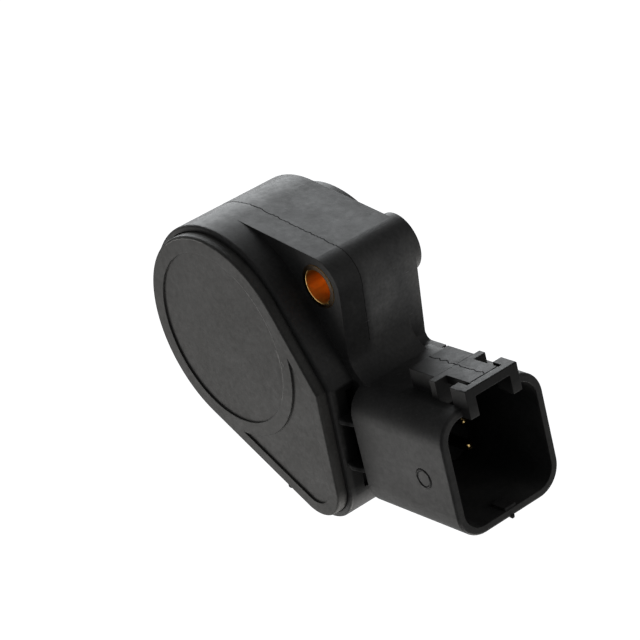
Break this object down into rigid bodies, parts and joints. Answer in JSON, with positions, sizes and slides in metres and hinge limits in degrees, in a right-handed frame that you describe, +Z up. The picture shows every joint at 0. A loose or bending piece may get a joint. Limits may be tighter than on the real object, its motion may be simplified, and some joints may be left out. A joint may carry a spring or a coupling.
{
  "type": "accelerator pedal sensor",
  "caption": "Rotary accelerator pedal sensor: teardrop moulded housing with lid, sleeved mounting ears, side connector shroud with latch bridge, and a sprung rotor with a drive socket.",
  "frame": {"origin": "on the rotor's axis, at the mounting plane of the two bolt sleeves", "axes": "+X towards the connector's mouth, +Y from the cover to the pedal bracket along the rotor's axis, +Z up"},
  "size_m": [0.0848, 0.0306, 0.0548],
  "materials": {
    "housing_plastic": "moulded, fine grain, satin",
    "cover_plastic": "moulded, matte",
    "sleeve_brass": "turned, bright rim",
    "rotor_plastic": "natural acetal",
    "seal_rubber": "smooth",
    "washer_plastic": "low-friction plastic",
    "spring_steel": "drawn wire",
    "board": "laminate with printed tracks",
    "wiper_bronze": "spring strip",
    "terminal_gold": "gold-plated"
  },
  "bodies": {
    "body": {"housing": "housing_plastic", "front_cover": "cover_plastic", "bolt_sleeve_upper": "sleeve_brass", "bolt_sleeve_lower": "sleeve_brass", "thrust_washer": "washer_plastic", "return_spring": "spring_steel", "track_board": "board", "terminal_1": "terminal_gold", "terminal_2": "terminal_gold", "terminal_3": "terminal_gold", "terminal_4": "terminal_gold", "terminal_5": "terminal_gold", "terminal_6": "terminal_gold"},
    "rotor_body": {"rotor": "rotor_plastic", "rotor_seal": "seal_rubber", "wiper_inner": "wiper_bronze", "wiper_outer": "wiper_bronze"}
  },
  "joints": [
    {"name": "rotor_turn", "type": "hinge", "parent": "body", "child": "rotor_body", "pos_m": [0, 0, 0], "axis": [0, 1, 0], "range_deg": [0, 75], "stiffness_Nm_per_rad": 0.05, "springref_deg": -28.65, "deforming": ["return_spring"]}
  ]
}
